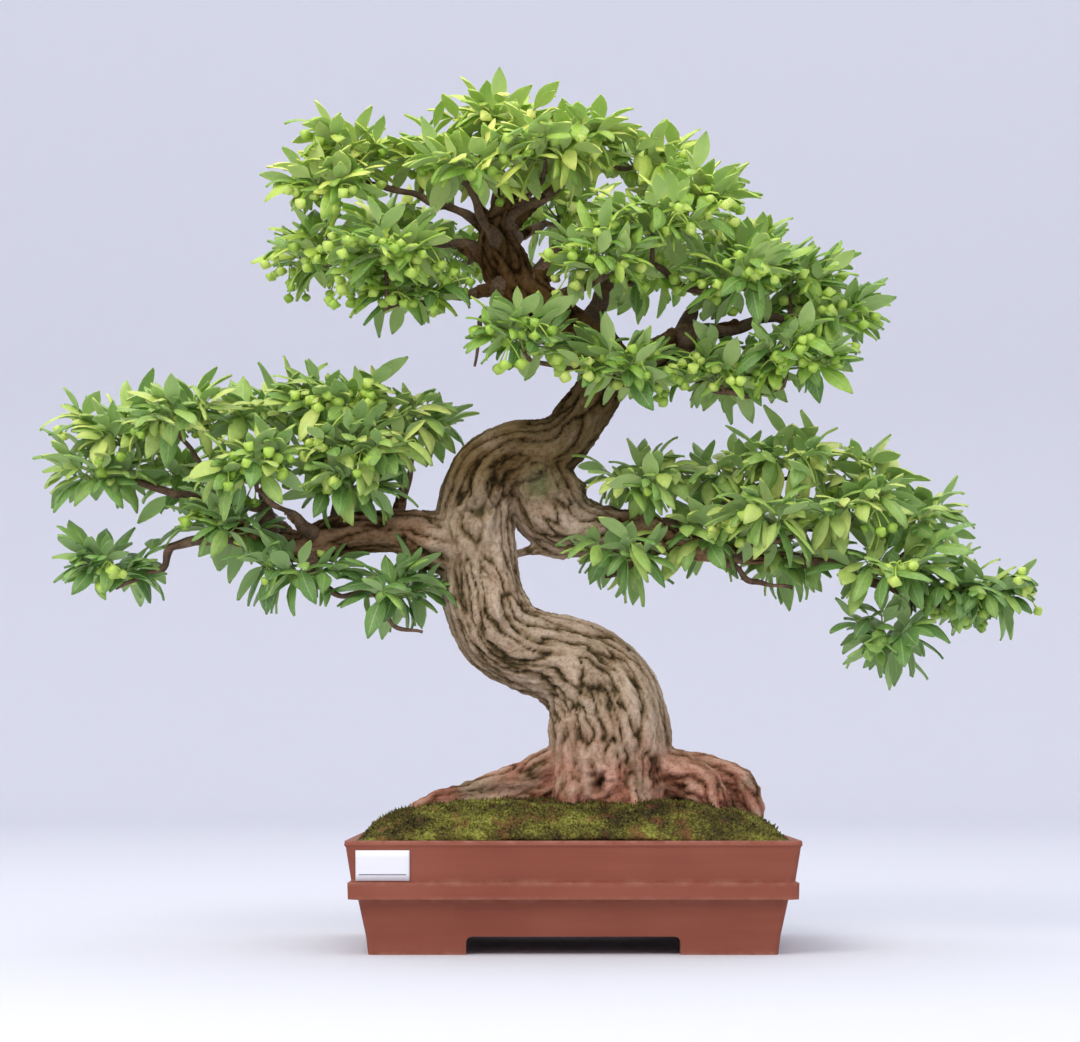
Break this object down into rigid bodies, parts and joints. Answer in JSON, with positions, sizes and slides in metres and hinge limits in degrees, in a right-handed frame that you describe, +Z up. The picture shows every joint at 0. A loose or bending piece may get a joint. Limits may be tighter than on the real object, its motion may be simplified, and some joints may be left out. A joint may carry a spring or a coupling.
{
  "type": "burning bush bonsai",
  "caption": "Spindle-tree bonsai with a winding furrowed trunk, arching leafy sprays and hanging seed capsules, rooted in a moss mound in a footed rectangular unglazed clay pot.",
  "frame": {"origin": "middle of the tree's outer box in X and Y, on the surface that the pot's feet stand on", "axes": "+Z up, +X along the pot's long side to the right as seen from the front, +Y from the front to the back; the card is on the front"},
  "size_m": [0.982, 0.3338, 0.8669],
  "materials": {
    "unglazed_clay": "unglazed fired clay, matt, paler and scuffed along the lip, band and feet",
    "card": "matt white card, blank",
    "drain_mesh": "moulded, matt dark green",
    "grit": "loose washed grit",
    "soil": "damp granular soil",
    "moss": "short cushion moss, dark olive with brighter patches",
    "bark": "deeply furrowed corky bark, pale ridges over dark olive furrows, redder at the roots",
    "crown_leaves": "fresh yellow-green leaves, satin above and paler below, with a pale midrib",
    "side_leaves": "deeper green leaves, satin above and paler below, with a pale midrib",
    "seed_capsules": "smooth unripe four-lobed capsules on thin pale stalks"
  },
  "bodies": {
    "root": {"pot": "unglazed_clay", "label_card": "card", "drain_mesh_left": "drain_mesh", "drain_mesh_right": "drain_mesh", "drainage_grit": "grit", "soil": "soil", "moss": "moss", "wood": "bark", "spray_crown_01": "crown_leaves", "spray_crown_02": "crown_leaves", "spray_crown_04": "crown_leaves", "spray_crown_05": "crown_leaves", "spray_crown_07": "crown_leaves", "spray_crown_09": "crown_leaves", "spray_crown_10": "crown_leaves", "spray_crown_12": "crown_leaves", "spray_crown_13": "crown_leaves", "spray_crown_15": "crown_leaves", "spray_crown_16": "crown_leaves", "spray_crown_18": "crown_leaves", "spray_crown_19": "crown_leaves", "spray_crown_22": "crown_leaves", "spray_crown_23": "crown_leaves", "spray_crown_24": "crown_leaves", "spray_crown_25": "crown_leaves", "spray_left_31": "side_leaves", "spray_left_33": "side_leaves", "spray_left_35": "side_leaves", "spray_left_36": "side_leaves", "spray_left_38": "side_leaves", "spray_left_40": "side_leaves", "spray_left_42": "side_leaves", "spray_right_51": "side_leaves", "spray_right_53": "side_leaves", "spray_right_57": "side_leaves", "spray_right_58": "side_leaves", "spray_right_59": "side_leaves", "spray_right_61": "side_leaves", "spray_right_62": "side_leaves", "fruit_bunch_01": "seed_capsules", "fruit_bunch_07": "seed_capsules", "fruit_bunch_10": "seed_capsules", "fruit_bunch_15": "seed_capsules", "fruit_bunch_19": "seed_capsules", "fruit_bunch_38": "seed_capsules", "fruit_bunch_61": "seed_capsules"}
  },
  "joints": []
}
